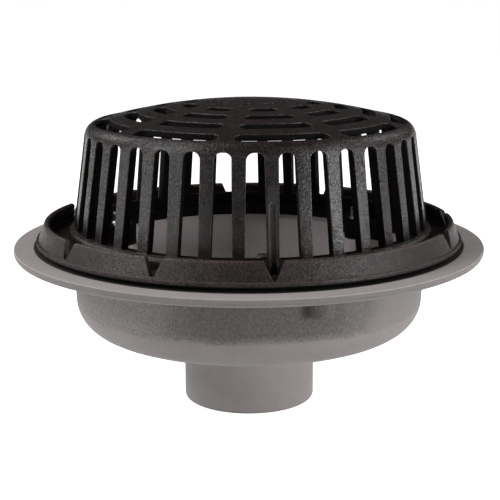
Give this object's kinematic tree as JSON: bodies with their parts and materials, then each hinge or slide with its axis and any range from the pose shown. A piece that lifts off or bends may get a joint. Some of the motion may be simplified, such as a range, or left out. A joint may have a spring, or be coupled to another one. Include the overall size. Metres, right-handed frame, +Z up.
{
  "type": "flat roof drain",
  "caption": "Cast-iron flat roof drain: wide deck flange, shallow sump bowl with outlet spigot, notched clamp ring with gravel guard, bolts and a low slotted dome.",
  "frame": {"origin": "centre of the outlet spigot's lower end", "axes": "+Z up along the drain's axis, -Y through the front clamp bolt"},
  "size_m": [0.4063, 0.4064, 0.2641],
  "materials": {
    "grey_casting": "sand cast, bare grey",
    "black_ring_casting": "sand cast, dipped black",
    "black_dome_casting": "sand cast, dipped black",
    "zinc_plate": "bright zinc plate"
  },
  "bodies": {
    "root": {"drain_body": "grey_casting", "clamp_ring": "black_ring_casting", "dome_strainer": "black_dome_casting", "clamp_bolt_front": "zinc_plate", "clamp_bolt_right": "zinc_plate", "clamp_bolt_left": "zinc_plate"}
  },
  "joints": []
}
